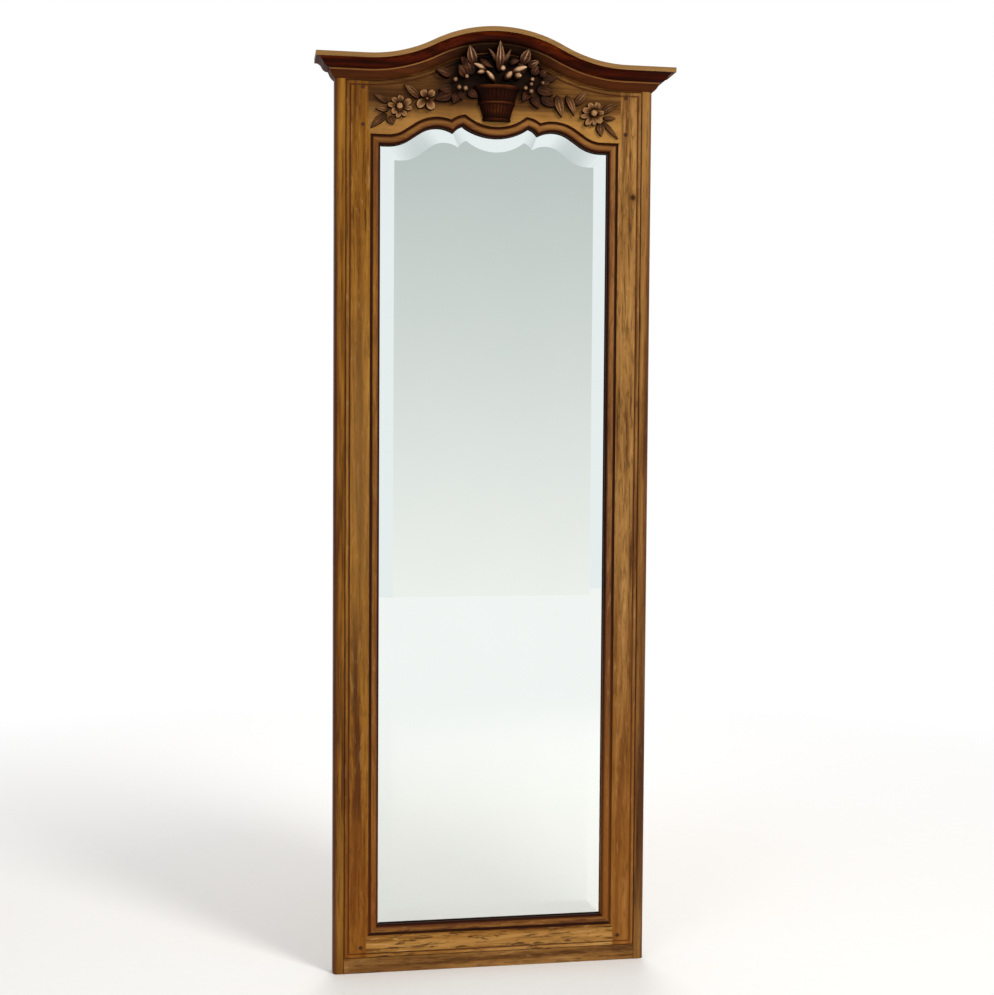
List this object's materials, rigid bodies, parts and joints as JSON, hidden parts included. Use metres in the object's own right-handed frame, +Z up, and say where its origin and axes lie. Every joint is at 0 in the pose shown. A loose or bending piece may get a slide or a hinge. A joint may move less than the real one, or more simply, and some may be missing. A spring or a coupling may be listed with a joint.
{
  "type": "floor mirror",
  "caption": "Tall bevelled floor mirror in an oak frame made like a wardrobe door, with a scalloped head, carved basket of flowers and arched crown moulding.",
  "frame": {"origin": "middle of the footprint on the floor, halfway through the depth of the body", "axes": "+X to the right as seen from the front, +Y to the back, +Z up; the glass faces -Y"},
  "size_m": [0.739, 0.0875, 1.94],
  "materials": {
    "oak_frame": "waxed oak, golden brown with darker grain",
    "oak_crown": "waxed oak, dark red-brown in the hollow and golden on the upper fillet",
    "oak_pegs": "dark waxed oak end grain",
    "carved_oak": "waxed carving, dark in its recesses and worn light on its edges",
    "back_wood": "plain planed wood, unfinished",
    "silvered_glass": "polished plate with a bevelled edge, silvered behind",
    "silvering": "silvered",
    "steel": "dull steel"
  },
  "bodies": {
    "root": {"left_stile": "oak_frame", "right_stile": "oak_frame", "top_rail": "oak_frame", "bottom_rail": "oak_frame", "joint_pegs": "oak_pegs", "left_side_board": "oak_frame", "right_side_board": "oak_frame", "base_rail": "oak_frame", "cap_rail": "oak_frame", "crown_front": "oak_crown", "crown_return_left": "oak_crown", "crown_return_right": "oak_crown", "crown_screws": "steel", "mirror_glass": "silvered_glass", "silvering": "silvering", "left_glazing_strip": "back_wood", "right_glazing_strip": "back_wood", "bottom_glazing_strip": "back_wood", "head_board": "back_wood", "strip_pins": "steel", "setting_blocks": "back_wood", "bottom_batten": "back_wood", "middle_batten": "back_wood", "top_batten": "back_wood", "batten_screws": "steel", "board_nails": "steel", "carved_basket": "carved_oak", "carved_bouquet": "carved_oak", "left_spray": "carved_oak", "right_spray": "carved_oak", "back_board_1": "back_wood", "back_board_2": "back_wood", "back_board_3": "back_wood", "back_board_4": "back_wood", "back_board_5": "back_wood"}
  },
  "joints": []
}
